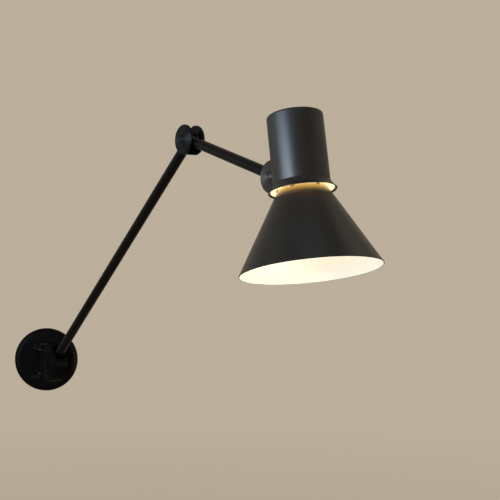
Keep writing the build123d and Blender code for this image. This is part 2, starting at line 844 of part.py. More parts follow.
with BuildPart() as flared_collar:
    sleeve_outside = housing_radius - sheet - push_fit
    sleeve_inside = sleeve_outside - sheet
    lip_inside = collar_radius - 1.3 * sheet
    with BuildSketch(shade_frame):
        with BuildLine():
            Polyline(
                (sleeve_inside, collar_sleeve - housing_bottom),
                (sleeve_outside, collar_sleeve - housing_bottom),
                (sleeve_outside, -housing_bottom),
                (housing_radius, -housing_bottom),
            )
            SagittaArc(
                (housing_radius, -housing_bottom), (collar_radius, -collar_bottom), -collar_sag
            )
            Line((collar_radius, -collar_bottom), (lip_inside, -collar_bottom))
            SagittaArc(
                (lip_inside, -collar_bottom), (sleeve_inside, -housing_bottom), collar_sag
            )
            Line((sleeve_inside, -housing_bottom), (sleeve_inside, collar_sleeve - housing_bottom))
        make_face()
    revolve(axis=shade_axis)


def cone_outside(drop):
    return cone_neck_radius + (drop - cone_neck_drop) * cone_slope


def cone_drop(radius):
    return cone_neck_drop + (radius - cone_neck_radius) / cone_slope


def rivet_plane(index):
    """The plane that touches the cone's outside at a rivet, facing out."""
    turn = radians(rivet_first_angle + index * 360 / rivet_count)
    radial = shade_frame.x_dir * cos(turn) + shade_frame.z_dir * sin(turn)
    outward = radial * cos(radians(cone_lean)) + shade_frame.y_dir * sin(radians(cone_lean))
    place = spot(shade_frame, 0, -rivet_drop) + radial * cone_outside(rivet_drop)
    return Plane(origin=place, x_dir=shade_frame.y_dir.cross(radial), z_dir=outward)


rivet_planes = [rivet_plane(index) for index in range(rivet_count)]

cone_outline = [
    (cone_neck_radius, -cone_neck_drop),
    (cone_radius, -cone_mouth_drop),
    (cone_radius - cone_skin, -cone_mouth_drop),
    (cone_neck_radius - cone_skin, -cone_neck_drop),
]
with BuildPart() as cone_shade:
    add(turned(shade_frame, shade_axis, cone_outline).part)
    for plane in rivet_planes:
        with BuildSketch(plane):
            Circle(rivet_radius + push_fit)
        extrude(amount=2 * sheet, both=True, mode=Mode.SUBTRACT)

band_gap = push_fit + cone_skin
band_skin = band_gap + carrier_sheet / cos(radians(cone_lean))
carrier_inside = carrier_radius - carrier_sheet
carrier_under = carrier_drop + carrier_sheet

carrier_outline = [
    (holder_thread_radius + push_fit, -carrier_drop),
    (carrier_radius, -carrier_drop),
    (carrier_radius, -cone_drop(carrier_radius + band_gap)),
    (cone_outside(carrier_band_end) - band_gap, -carrier_band_end),
    (cone_outside(carrier_band_end) - band_skin, -carrier_band_end),
    (carrier_inside, -cone_drop(carrier_inside + band_skin)),
    (carrier_inside, -carrier_under),
    (holder_thread_radius + push_fit, -carrier_under),
]
with BuildPart() as shade_carrier:
    add(turned(shade_frame, shade_axis, carrier_outline).part)
    for index in range(rivet_count):
        turn = radians(rivet_first_angle + (index + 0.5) * 360 / rivet_count)
        radial = shade_frame.x_dir * cos(turn) + shade_frame.z_dir * sin(turn)
        window = Plane(origin=shade_frame.origin, x_dir=shade_frame.y_dir.cross(radial), z_dir=radial)
        with BuildSketch(window.offset(carrier_inside - 2 * carrier_sheet)):
            with Locations((0, -(carrier_window_top + carrier_window_bottom) / 2)):
                RectangleRounded(
                    carrier_window_width, carrier_window_bottom - carrier_window_top, 2.0
                )
        extrude(amount=carrier_radius, mode=Mode.SUBTRACT)
    for plane in rivet_planes:
        with BuildSketch(plane):
            Circle(rivet_radius + push_fit)
        extrude(amount=-3 * sheet, mode=Mode.SUBTRACT)

with BuildPart() as neck_rivets:
    grip = sheet + push_fit + carrier_sheet + rivet_stand
    for plane in rivet_planes:
        with BuildSketch(plane):
            Circle(rivet_head_radius)
        extrude(amount=rivet_head_height, taper=35)
        with BuildSketch(plane):
            Circle(rivet_radius)
        extrude(amount=-grip)
        with BuildSketch(plane.offset(-grip)):
            Circle(1.5 * rivet_radius)
        extrude(amount=-rivet_radius / 2)

# ---------------------------------------------------------------- lampholder and bulb
strap_under = strap_top - strap_sheet
holder_top = strap_under
nipple_bottom = holder_top - nipple_engagement
nipple_top = strap_top + nipple_stand
cable_bend = 2.2 * cable_radius
cable_climb = boss_end + cable_bend + push_fit

with BuildPart() as holder_strap:
    strap_end = head_reach + strap_overhang
    with BuildSketch(head_frame):
        with BuildLine():
            Polyline(
                (strap_start, -strap_foot),
                (strap_start, strap_top),
                (strap_end, strap_top),
                (strap_end, strap_under),
                (strap_start + strap_sheet, strap_under),
                (strap_start + strap_sheet, -strap_foot),
                close=True,
            )
        make_face()
    extrude(amount=strap_width / 2, both=True)
    with BuildSketch(end_plane(head_frame, 0)):
        Circle(boss_radius + push_fit)
    extrude(amount=strap_start + 2 * strap_sheet, mode=Mode.SUBTRACT)
    with BuildSketch(level_plane(head_frame, strap_under - strap_sheet)):
        with Locations((head_reach, 0)):
            Circle(nipple_radius + push_fit)
        with Locations((cable_climb, 0)):
            Circle(strap_wire_hole)
    extrude(amount=3 * strap_sheet, mode=Mode.SUBTRACT)

with BuildPart() as holder_nipple:
    with BuildSketch(level_plane(shade_frame, nipple_bottom)):
        Circle(nipple_radius)
        Circle(nipple_bore, mode=Mode.SUBTRACT)
    extrude(amount=nipple_top - nipple_bottom)

with BuildPart() as nipple_nut:
    with BuildSketch(level_plane(shade_frame, strap_top)):
        RegularPolygon(nipple_nut_flats / 2, 6, major_radius=False)
        Circle(nipple_radius + push_fit, mode=Mode.SUBTRACT)
    extrude(amount=nipple_nut_height)

cavity_top = holder_cavity_depth - holder_mouth_drop
lampholder = turned(
    shade_frame,
    shade_axis,
    [
        (nipple_radius + push_fit, holder_top),
        (holder_radius - holder_shoulder, holder_top),
        (holder_radius, holder_top - holder_shoulder),
        (holder_radius, holder_flange_height - carrier_drop),
        (holder_flange_radius, holder_flange_height - carrier_drop),
        (holder_flange_radius, -carrier_drop),
        (holder_thread_radius, -carrier_drop),
        (holder_thread_radius, -holder_mouth_drop),
        (holder_cavity_radius, -holder_mouth_drop),
        (holder_cavity_radius, cavity_top),
        (cable_bore, cavity_top),
        (cable_bore, nipple_bottom - push_fit),
        (nipple_radius + push_fit, nipple_bottom - push_fit),
    ],
)

shade_ring = turned(
    shade_frame,
    shade_axis,
    [
        (holder_thread_radius + push_fit, -carrier_under),
        (shade_ring_radius, -carrier_under),
        (shade_ring_radius, -carrier_under - shade_ring_height),
        (holder_thread_radius + push_fit, -carrier_under - shade_ring_height),
    ],
)

screw_shell = turned(
    shade_frame,
    shade_axis,
    [
        (holder_cavity_radius - push_fit, cavity_top - 2.0),
        (holder_cavity_radius - push_fit, -holder_mouth_drop + 1.0),
        (holder_cavity_radius - push_fit - shell_sheet, -holder_mouth_drop + 1.0),
        (holder_cavity_radius - push_fit - shell_sheet, cavity_top - 2.0),
    ],
)

cap_top = cap_height - holder_mouth_drop
with BuildPart() as centre_contact:
    with BuildSketch(level_plane(shade_frame, cap_top + cap_tip_height)):
        Rectangle(2 * contact_width, contact_width)
    extrude(amount=cavity_top - cap_top - cap_tip_height)

bulb_cap = turned(
    shade_frame,
    shade_axis,
    [
        (0, -holder_mouth_drop),
        (cap_radius, -holder_mouth_drop),
        (cap_radius, cap_top),
        (cap_tip_radius, cap_top + cap_tip_height),
        (0, cap_top + cap_tip_height),
    ],
)


def bulb_solid(inset):
    """The bulb's glass as a full form, drawn in by an inset."""
    ball = bulb_radius - inset
    neck = bulb_neck_radius - inset
    seat = -holder_mouth_drop - inset
    tangent_turn = radians(35)
    touch = (ball * cos(tangent_turn), -bulb_centre_drop + ball * sin(tangent_turn))
    with BuildPart() as piece:
        with BuildSketch(shade_frame):
            with BuildLine():
                Line((0, seat), (neck, seat))
                Spline(
                    (neck, seat),
                    touch,
                    tangents=((0.15, -1), (sin(tangent_turn), -cos(tangent_turn))),
                )
                ThreePointArc(touch, (ball, -bulb_centre_drop), (0, -bulb_centre_drop - ball))
                Line((0, -bulb_centre_drop - ball), (0, seat))
            make_face()
        revolve(axis=shade_axis)
    return piece


with BuildPart() as bulb_globe:
    add(bulb_solid(0).part)
    add(bulb_solid(bulb_glass).part, mode=Mode.SUBTRACT)

cable_crest = nipple_top + cable_rise
with BuildPart() as head_cable:
    with BuildLine(head_frame) as head_cable_path:
        FilletPolyline(
            (head_floor + 1.0, 0),
            (cable_climb, 0),
            (cable_climb, cable_crest),
            (head_reach, cable_crest),
            (head_reach, nipple_bottom + 1.0),
            radius=cable_bend,
        )
    with BuildSketch(end_plane(head_frame, head_floor + 1.0)):
        Circle(cable_radius)
    sweep(path=head_cable_path.line)

# ---------------------------------------------------------------- files
pieces = {
    "wall_bracket": wall_bracket,
    "wall_rose": wall_rose,
    "cover_screws": cover_screws,
    "terminal_block": terminal_block,
    "terminal_screws": terminal_screws,
    "earth_screw": earth_screw,
    "earth_washer": earth_washer,
    "pan_yoke": pan_yoke,
    "stem_washer": stem_washer,
    "stem_nut": stem_nut,
    "pan_bolt": pan_bolt,
    "pan_nut": pan_nut,
    "pan_disc_spring": pan_disc_spring,
    "base_knuckle": base_knuckle,
    "pan_bushes": pan_bushes,
    "base_bolt": base_bolt,
    "base_nut": base_nut,
    "base_disc_spring": base_disc_spring,
    "base_friction_washers": base_friction_washers,
    "lower_arm_root": lower_arm_root,
    "lower_eye_bush": lower_eye_bush,
    "lower_tube": lower_tube,
    "elbow_knuckle": elbow_knuckle,
    "elbow_bolt": elbow_bolt,
    "elbow_nut": elbow_nut,
    "elbow_disc_spring": elbow_disc_spring,
    "elbow_friction_washers": elbow_friction_washers,
    "lower_grub_screws": lower_grub_screws,
    "lower_cable": lower_cable,
    "upper_arm_root": upper_arm_root,
    "upper_root_bush": upper_root_bush,
    "upper_tube": upper_tube,
    "upper_arm_tip": upper_arm_tip,
    "upper_tip_bush": upper_tip_bush,
    "upper_grub_screws": upper_grub_screws,
    "upper_cable": upper_cable,
    "head_knuckle": head_knuckle,
    "head_bolt": head_bolt,
    "head_nut": head_nut,
    "head_disc_spring": head_disc_spring,
    "head_friction_washers": head_friction_washers,
    "saddle_washer": saddle_washer,
    "boss_nut": boss_nut,
    "upper_housing": upper_housing,
    "flared_collar": flared_collar,
    "cone_shade": cone_shade,
    "shade_carrier": shade_carrier,
    "neck_rivets": neck_rivets,
    "holder_strap": holder_strap,
    "holder_nipple": holder_nipple,
    "nipple_nut": nipple_nut,
    "lampholder": lampholder,
    "shade_ring": shade_ring,
    "screw_shell": screw_shell,
    "centre_contact": centre_contact,
    "bulb_cap": bulb_cap,
    "bulb_globe": bulb_globe,
    "head_cable": head_cable,
}
for name, piece in pieces.items():
    export(piece, name)
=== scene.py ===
"""Looks of the articulating wall lamp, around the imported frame. Metres, row frame."""

import json
import math

import bmesh
import bpy
from mathutils import Matrix, Vector


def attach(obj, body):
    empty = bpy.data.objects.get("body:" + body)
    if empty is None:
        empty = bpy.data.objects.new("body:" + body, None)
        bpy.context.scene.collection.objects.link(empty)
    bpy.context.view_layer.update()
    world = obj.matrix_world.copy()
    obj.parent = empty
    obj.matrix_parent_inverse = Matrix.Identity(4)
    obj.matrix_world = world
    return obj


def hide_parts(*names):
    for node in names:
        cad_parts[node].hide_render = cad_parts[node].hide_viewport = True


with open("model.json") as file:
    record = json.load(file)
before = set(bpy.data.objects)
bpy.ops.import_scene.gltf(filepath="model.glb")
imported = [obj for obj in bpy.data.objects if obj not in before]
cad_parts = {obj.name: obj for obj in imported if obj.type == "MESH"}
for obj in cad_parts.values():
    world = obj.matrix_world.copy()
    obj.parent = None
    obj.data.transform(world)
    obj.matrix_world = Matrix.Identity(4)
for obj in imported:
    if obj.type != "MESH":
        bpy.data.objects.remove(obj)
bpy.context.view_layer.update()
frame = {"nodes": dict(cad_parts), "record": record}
NODES = frame["nodes"]
BODIES = frame["record"]["behaviour"]["bodies"]
NODE_BODY = {node: body for body, nodes in BODIES.items() for node in nodes}

# ---------------------------------------------------------------- pose and sizes, as in part.py
SWING = math.radians(36.4)
LOWER_TILT = math.radians(40.9)
UPPER_TILT = math.radians(-16.6)
HEAD_TILT = math.radians(13.15)
HEAD_SIDE_TILT = math.radians(-1.7)
PAN_DEPTH = 28.0        # swing axis in front of the wall, in millimetres
BASE_REACH = 34.0       # from the swing axis to the lower arm's pivot
LOWER_REACH = 495.0
UPPER_REACH = 190.0
SHADE_REACH = 41.1      # from the head pivot to the shade's axis
MM = 0.001

UP = Vector((0, 0, 1))
REACH = Vector((math.sin(SWING), -math.cos(SWING), 0))
HINGE = REACH.cross(UP)


def link_axes(tilt, side_tilt=0.0):
    """Along the link, across it, and the direction of its pivots."""
    along = REACH * math.cos(tilt) + UP * math.sin(tilt)
    across = HINGE.cross(along)
    normal = HINGE * math.cos(side_tilt) - across * math.sin(side_tilt)
    return along, normal.cross(along), normal


def place(origin, axes):
    """A matrix from link coordinates to the row frame."""
    along, across, normal = axes
    turn = Matrix((along, across, normal)).transposed().to_4x4()
    return Matrix.Translation(origin) @ turn


PAN_POINT = Vector((0, -PAN_DEPTH, 0)) * MM
BASE_POINT = PAN_POINT + REACH * BASE_REACH * MM
LOWER = place(BASE_POINT, link_axes(LOWER_TILT))
ELBOW_POINT = LOWER @ Vector((LOWER_REACH * MM, 0, 0))
UPPER = place(ELBOW_POINT, link_axes(UPPER_TILT))
HEAD_POINT = UPPER @ Vector((UPPER_REACH * MM, 0, 0))
HEAD = place(HEAD_POINT, link_axes(HEAD_TILT, HEAD_SIDE_TILT))
SHADE = HEAD @ Matrix.Translation((SHADE_REACH * MM, 0, 0))
WALL = Matrix(((1, 0, 0, 0), (0, -1, 0, 0), (0, 0, -1, 0), (0, 0, 0, 1)))


def add_object(name, data):
    """A new object in the scene's collection."""
    obj = bpy.data.objects.new(name, data)
    bpy.context.collection.objects.link(obj)
    return obj


# ---------------------------------------------------------------- material helpers
class Nodes:
    """Adds and links shader nodes in few words."""

    def __init__(self, name="", mat=None):
        self.mat = mat or bpy.data.materials.new(name)
        self.mat.use_nodes = True
        self.tree = self.mat.node_tree
        self.bsdf = self.tree.nodes["Principled BSDF"]
        self.out = self.tree.nodes["Material Output"]

    def add(self, kind, **values):
        node = self.tree.nodes.new(kind)
        for key, value in values.items():
            setattr(node, key, value)
        return node

    def link(self, source, target):
        self.tree.links.new(source, target)

    def set(self, node, **values):
        for key, value in values.items():
            node.inputs[key].default_value = value

    def coords(self):
        return self.add("ShaderNodeTexCoord").outputs["Object"]

    def noise(self, scale, detail, rough=0.5):
        node = self.add("ShaderNodeTexNoise")
        self.set(node, Scale=scale, Detail=detail, Roughness=rough)
        self.link(self.coords(), node.inputs["Vector"])
        return node.outputs["Fac"]

    def ramp(self, source, *stops):
        node = self.add("ShaderNodeValToRGB")
        elements = node.color_ramp.elements
        while len(elements) < len(stops):
            elements.new(0.5)
        for element, (at, colour) in zip(elements, stops):
            element.position = at
            element.color = (*colour, 1.0)
        self.link(source, node.inputs["Fac"])
        return node.outputs["Color"]

    def spread(self, source, low, high, start=0.0, end=1.0):
        node = self.add("ShaderNodeMapRange")
        node.inputs["From Min"].default_value = start
        node.inputs["From Max"].default_value = end
        node.inputs["To Min"].default_value = low
        node.inputs["To Max"].default_value = high
        self.link(source, node.inputs["Value"])
        return node.outputs["Result"]

    def bump(self, source, strength, distance):
        node = self.add("ShaderNodeBump")
        self.set(node, Strength=strength, Distance=distance)
        self.link(source, node.inputs["Height"])
        return node.outputs["Normal"]


PAINT_FLECK = 0.15      # how far the paint's tone strays, as a share
PEEL_GRAIN = 900.0
PEEL_DEPTH = 0.000012   # of the paint's orange peel, in metres
SKIN_DEPTH = 0.00003    # of the grain of metal, plastic and enamel


def paint(name, colour, rough, gloss, grain=PEEL_GRAIN, depth=PEEL_DEPTH):
    """Satin paint: a fine orange peel, cloudy gloss and a faint change of tone."""
    n = Nodes(name)
    cloud = n.noise(14.0, 4.0)
    fine = n.noise(grain, 2.0, 0.6)
    light = tuple(c * (1 + PAINT_FLECK) for c in colour)
    dark = tuple(c * (1 - PAINT_FLECK) for c in colour)
    n.link(n.ramp(cloud, (0.3, dark), (0.7, light)), n.bsdf.inputs["Base Color"])
    n.link(n.spread(cloud, rough - 0.03, rough + 0.04, 0.3, 0.7), n.bsdf.inputs["Roughness"])
    n.link(n.bump(fine, 0.35, depth), n.bsdf.inputs["Normal"])
    n.bsdf.inputs["Specular IOR Level"].default_value = gloss
    return n.mat


TURNED_STRETCH = 0.85   # how far a turned face draws out its highlight


def turned_paint(name, centre, colour, rough, gloss):
    """Paint on a turned drum: its highlight spreads outward from the pivot."""
    mat = paint(name, colour, rough, gloss)
    n = Nodes(mat=mat)
    away = n.add("ShaderNodeVectorMath", operation="SUBTRACT")
    n.link(n.coords(), away.inputs[0])
    away.inputs[1].default_value = centre
    outward = n.add("ShaderNodeVectorTransform", vector_type="VECTOR")
    outward.convert_from, outward.convert_to = "OBJECT", "WORLD"
    n.link(away.outputs["Vector"], outward.inputs["Vector"])
    n.link(outward.outputs["Vector"], n.bsdf.inputs["Tangent"])
    n.bsdf.inputs["Anisotropic"].default_value = TURNED_STRETCH
    return mat


def metal(name, colour, rough):
    """Bare or plated metal with a fine grain."""
    n = Nodes(name)
    grit = n.noise(500.0, 3.0, 0.6)
    cloud = n.noise(30.0, 3.0)
    dark = tuple(c * 0.8 for c in colour)
    n.link(n.ramp(cloud, (0.3, dark), (0.7, colour)), n.bsdf.inputs["Base Color"])
    n.link(n.spread(grit, rough - 0.08, rough + 0.1, 0.3, 0.7), n.bsdf.inputs["Roughness"])
    n.link(n.bump(grit, 0.3, SKIN_DEPTH), n.bsdf.inputs["Normal"])
    n.bsdf.inputs["Metallic"].default_value = 1.0
    return n.mat


def moulded(name, colour, rough):
    """Moulded plastic or nylon with a fine skin."""
    n = Nodes(name)
    cloud = n.noise(60.0, 3.0)
    fine = n.noise(700.0, 2.0)
    dark = tuple(c * 0.9 for c in colour)
    n.link(n.ramp(cloud, (0.3, dark), (0.7, colour)), n.bsdf.inputs["Base Color"])
    n.link(n.spread(fine, rough - 0.05, rough + 0.05), n.bsdf.inputs["Roughness"])
    n.link(n.bump(fine, 0.2, SKIN_DEPTH), n.bsdf.inputs["Normal"])
    return n.mat


def white_with_painted_glow(name, colour, glow, painted_glow_tint):
    """White enamel for the inside of the shade, with the bulb's light painted on it as a glow."""
    n = Nodes(name)
    cloud = n.noise(18.0, 3.0)
    fine = n.noise(900.0, 2.0)
    dark = tuple(c * 0.95 for c in colour)
    n.link(n.ramp(cloud, (0.3, dark), (0.7, colour)), n.bsdf.inputs["Base Color"])
    n.link(n.spread(fine, 0.42, 0.52), n.bsdf.inputs["Roughness"])
    n.link(n.bump(fine, 0.2, SKIN_DEPTH), n.bsdf.inputs["Normal"])
    n.bsdf.inputs["Emission Color"].default_value = (*painted_glow_tint, 1.0)
    n.bsdf.inputs["Emission Strength"].default_value = glow
    return n.mat


def neck_with_painted_glow(name, colour, rough, gloss):
    """Satin paint with the bulb's warm light painted on it as a glow, which fades down the cone."""
    mat = paint(name, colour, rough, gloss)
    n = Nodes(mat=mat)
    axis = SHADE.col[1].to_3d()
    height = n.add("ShaderNodeVectorMath", operation="DOT_PRODUCT")
    n.link(n.coords(), height.inputs[0])
    height.inputs[1].default_value = axis
    low, high = NECK_PAINTED_GLOW[0][0], NECK_PAINTED_GLOW[-1][0]
    pivot = axis.dot(SHADE.translation)
    drop = n.spread(height.outputs["Value"], 0.0, 1.0, pivot - low * MM, pivot - high * MM)
    stops = [((at - low) / (high - low), painted_glow_tint) for at, painted_glow_tint in NECK_PAINTED_GLOW]
    n.link(n.ramp(drop, *stops), n.bsdf.inputs["Emission Color"])
    n.bsdf.inputs["Emission Strength"].default_value = 1.0
    satin = n.bsdf.inputs["Roughness"].links[0].from_socket
    polish = n.spread(drop, NECK_POLISH, 1.0, NECK_POLISH_START, NECK_POLISH_END)
    polished = n.add("ShaderNodeMath", operation="MULTIPLY")
    n.link(satin, polished.inputs[0])
    n.link(polish, polished.inputs[1])
    n.link(polished.outputs["Value"], n.bsdf.inputs["Roughness"])
    return mat


def rivets_with_painted_glow(name, colour, rough, gloss):
    """The same paint on the rivets, with the bulb's warm light painted on them as a glow."""
    mat = paint(name, colour, rough, gloss)
    bsdf = Nodes(mat=mat).bsdf
    bsdf.inputs["Emission Color"].default_value = (*RIVET_PAINTED_GLOW, 1.0)
    bsdf.inputs["Emission Strength"].default_value = 1.0
    return mat


def opal_glass(name, colour, glow):
    """The bulb's milky glass, lit from inside."""
    n = Nodes(name)
    cloud = n.noise(40.0, 2.0)
    warm = tuple(c * f for c, f in zip(colour, (1.0, 0.97, 0.9)))
    n.link(n.ramp(cloud, (0.3, warm), (0.7, colour)), n.bsdf.inputs["Base Color"])
    n.link(n.spread(cloud, 0.12, 0.2), n.bsdf.inputs["Roughness"])
    n.bsdf.inputs["Emission Color"].default_value = (*colour, 1.0)
    n.bsdf.inputs["Emission Strength"].default_value = glow
    return n.mat


# Drop down the shade's axis from the head pivot, in millimetres, and the bulb's light painted on
# the cone there as a glow
NECK_PAINTED_GLOW = (
    (18.0, (0.8, 0.56, 0.24)),
    (25.2, (0.74, 0.46, 0.15)),
    (29.5, (0.4, 0.2, 0.022)),
    (33.0, (0.055, 0.022, 0.002)),
    (36.0, (0.008, 0.002, 0.0)),
    (44.0, (0.0, 0.0, 0.0)),
)
# Painted glow on the rivets, standing in for the bulb's light
RIVET_PAINTED_GLOW = (0.25, 0.14, 0.04)
NECK_POLISH = 0.5        # roughness of the neck, as a share of the cone's
NECK_POLISH_START = 0.5  # where it begins to fade, as a share of the lit drop
NECK_POLISH_END = 0.7    # where it ends
# The cone's black paint carries the painted glow of the bulb's light at its neck.
CONE_BLACK_PAINTED_GLOW = neck_with_painted_glow("cone_black_paint_painted_glow", (0.002, 0.002, 0.0022), 0.34, 0.33)
SHADE_BLACK = paint("shade_black_paint", (0.0018, 0.0018, 0.002), 0.42, 0.33)
ARM_BLACK = paint("arm_black_paint", (0.002, 0.0018, 0.0016), 0.36, 0.065, depth=0.000004)
CAST = {"grain": 650.0, "depth": 0.00002}
DRUM_BLACK = paint("drum_black_paint", (0.004, 0.004, 0.0042), 0.34, 0.25, **CAST)
# Darker, duller copies of the black paint for the base and rose: painted shade, as the wall end of
# the lamp lies in shadow.
BASE_BLACK_PAINTED_SHADE = paint("base_black_paint_painted_shade", (0.0022, 0.0021, 0.002), 0.42, 0.03, **CAST)
ROSE_BLACK_PAINTED_SHADE = paint("rose_black_paint_painted_shade", (0.0014, 0.0013, 0.0013), 0.45, 0.04)
SCREW_BLACK = metal("blackened_steel", (0.03, 0.03, 0.031), 0.42)
ZINC = metal("zinc_plate", (0.62, 0.63, 0.66), 0.34)
SPRING = metal("spring_steel", (0.4, 0.4, 0.42), 0.3)
BRASS = metal("brass", (0.78, 0.58, 0.26), 0.3)
NYLON = moulded("nylon", (0.8, 0.79, 0.74), 0.5)
PLASTIC = moulded("white_plastic", (0.75, 0.75, 0.72), 0.45)
CABLE = moulded("cable_jacket", (0.03, 0.03, 0.03), 0.55)
# Both whites carry a painted glow that stands in for the bulb's light inside the head.
WHITE_INSIDE_PAINTED_GLOW = white_with_painted_glow("white_enamel_painted_glow", (0.85, 0.83, 0.77), 0.38, (0.98, 0.92, 0.77))
WHITE_COLLAR_PAINTED_GLOW = white_with_painted_glow("collar_painted_glow", (0.4, 0.37, 0.3), 0.95, (1.0, 0.93, 0.62))
OPAL = opal_glass("opal_glass", (1.0, 0.9, 0.72), 4.0)

SLOT_MATERIALS = {
    "black_casting": DRUM_BLACK,
    "black_tube": ARM_BLACK,
    "black_shade": SHADE_BLACK,
    "black_screws": SCREW_BLACK,
    "zinc_steel": ZINC,
    "spring_steel": SPRING,
    "brass": BRASS,
    "nylon": NYLON,
    "white_plastic": PLASTIC,
    "cable_jacket": CABLE,
    "opal_glass": OPAL,
}


# ---------------------------------------------------------------- mesh helpers
ON_AXIS = 1e-6              # radius in millimetres under which a point is on the axis
SHARP = math.radians(40)    # edges that turn further than this stay sharp


def rounded(points, steps):
    """A closed outline of (r, y, radius) corners with each corner rounded."""
    outline = []
    count = len(points)
    for index, (x, y, radius) in enumerate(points):
        corner = Vector((x, y))
        before = Vector(points[index - 1][:2]) - corner
        after = Vector(points[(index + 1) % count][:2]) - corner
        if radius <= 0:
            outline.append((x, y))
            continue
        a, b = before.normalized(), after.normalized()
        angle = a.angle(b)
        cut = radius / math.tan(angle / 2)
        start, end = corner + a * cut, corner + b * cut
        centre = corner + (a + b).normalized() * radius / math.sin(angle / 2)
        first, last = start - centre, end - centre
        sweep = first.angle_signed(last)
        for step in range(steps + 1):
            turned = first.copy()
            turned.rotate(Matrix.Rotation(-sweep * step / steps, 2))
            outline.append(tuple(centre + turned))
    return outline


def lathe(name, outline, matrix, segments, materials, pick=None):
    """A closed outline of (r, y) in millimetres turned about a frame's Y."""
    mesh = bpy.data.meshes.new(name)
    bm = bmesh.new()
    rings = []
    for r, y in outline:
        if r < ON_AXIS:
            rings.append([bm.verts.new(matrix @ Vector((0, y * MM, 0)))] * segments)
            continue
        ring = []
        for step in range(segments):
            turn = 2 * math.pi * step / segments
            spot = Vector((r * math.cos(turn), y, -r * math.sin(turn))) * MM
            ring.append(bm.verts.new(matrix @ spot))
        rings.append(ring)
    for index in range(len(rings)):
        low, high = rings[index - 1], rings[index]
        (r0, y0), (r1, y1) = outline[index - 1], outline[index]
        if r0 < ON_AXIS and r1 < ON_AXIS:
            continue
        for step in range(segments):
            near, far = step, (step + 1) % segments
            corners = [low[near], low[far], high[far], high[near]]
            unique = list(dict.fromkeys(corners))
            face = bm.faces.new(unique)
            if pick:
                face.material_index = pick((r0 + r1) / 2, (y0 + y1) / 2)
    bmesh.ops.recalc_face_normals(bm, faces=bm.faces)
    for face in bm.faces:
        face.smooth = True
    bm.to_mesh(mesh)
    bm.free()
    mesh.set_sharp_from_angle(angle=SHARP)
    for material in materials:
        mesh.materials.append(material)
    return add_object(name, mesh)


def stands_for(piece, node):
    """The piece takes a node's place and body."""
    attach(piece, NODE_BODY[node])
    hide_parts(node)


# ---------------------------------------------------------------- carried-over nodes
SLOTS = {entry["node"]: entry["material_slot"] for entry in frame["record"]["subparts"]}
for node, obj in NODES.items():
    obj.data.materials.clear()
    obj.data.materials.append(SLOT_MATERIALS[SLOTS[node]])
# The yoke and the lower arm's root take the base's copy with painted shade.
for node in ("pan_yoke", "lower_arm_root"):
    NODES[node].data.materials[0] = BASE_BLACK_PAINTED_SHADE
# The same turned paint on all three drums, with less gloss and more roughness towards the wall:
# painted shade on the elbow and base drums.
for joint, centre, rough, gloss in (
    ("base", BASE_POINT, 0.5, 0.015),
    ("elbow", ELBOW_POINT, 0.42, 0.08),
    ("head", HEAD_POINT, 0.36, 0.42),
):
    finish = turned_paint(f"{joint}_drum_paint", centre, (0.002, 0.002, 0.0022), rough, gloss)
    for node in (f"{joint}_knuckle", f"{joint}_bolt"):
        NODES[node].data.materials[0] = finish
# The neck rivets wear the paint with the painted glow.
RIVETS_PAINTED_GLOW = rivets_with_painted_glow("rivets_with_painted_glow", (0.0028, 0.0028, 0.003), 0.42, 0.33)
NODES["neck_rivets"].data.materials[0] = RIVETS_PAINTED_GLOW

# ---------------------------------------------------------------- cone, collar and housing
CONE_SEGMENTS, HEAD_SEGMENTS, ROSE_SEGMENTS = 256, 224, 192
SHEET = 1.2
CONE_NECK, CONE_MOUTH = 24.0, 80.0
NECK_DROP, MOUTH_DROP = 18.4, 117.4
CONE_SLOPE = (CONE_MOUTH - CONE_NECK) / (MOUTH_DROP - NECK_DROP)
CONE_SKIN = SHEET / math.cos(math.atan(CONE_SLOPE))

cone_outline = rounded(
    [
        (CONE_NECK, -NECK_DROP, 0.4),
        (CONE_MOUTH, -MOUTH_DROP, 0.35),
        (CONE_MOUTH - CONE_SKIN, -MOUTH_DROP, 0.35),
        (CONE_NECK - CONE_SKIN, -NECK_DROP, 0.3),
    ],
    steps=4,
)


def inside_cone(r, y):
    """1, the white enamel, on the cone's inside; 0, the black paint, outside."""
    outer = CONE_NECK + (-y - NECK_DROP) * CONE_SLOPE
    return 1 if r < outer - CONE_SKIN * 0.75 else 0


cone = lathe(
    "cone_shade_skin",
    cone_outline,
    SHADE,
    CONE_SEGMENTS,
    (CONE_BLACK_PAINTED_GLOW, WHITE_INSIDE_PAINTED_GLOW),
    inside_cone,
)
stands_for(cone, "cone_shade")

HOUSING_R, HOUSING_LOW = 32.0, -18.0
HOUSING_TOP = 60.59     # just under part.py's 60.6, so that this finer mesh stays in its box
housing_outline = rounded(
    [
        (HOUSING_R - SHEET, HOUSING_LOW, 0.25),
        (HOUSING_R, HOUSING_LOW, 0.35),
        (HOUSING_R, HOUSING_TOP, 3.0),
        (0.0, HOUSING_TOP, 0),
        (0.0, HOUSING_TOP - SHEET, 0),
        (HOUSING_R - SHEET, HOUSING_TOP - SHEET, 1.8),
    ],
    steps=8,
)


def inside_housing(r, y):
    """1 on the housing's white inside, 0 outside."""
    depth = 0.7 * SHEET
    return 1 if r < HOUSING_R - depth and y < HOUSING_TOP - depth else 0


housing = lathe(
    "upper_housing_skin",
    housing_outline,
    SHADE,
    HEAD_SEGMENTS,
    (SHADE_BLACK, WHITE_INSIDE_PAINTED_GLOW),
    inside_housing,
)
stands_for(housing, "upper_housing")

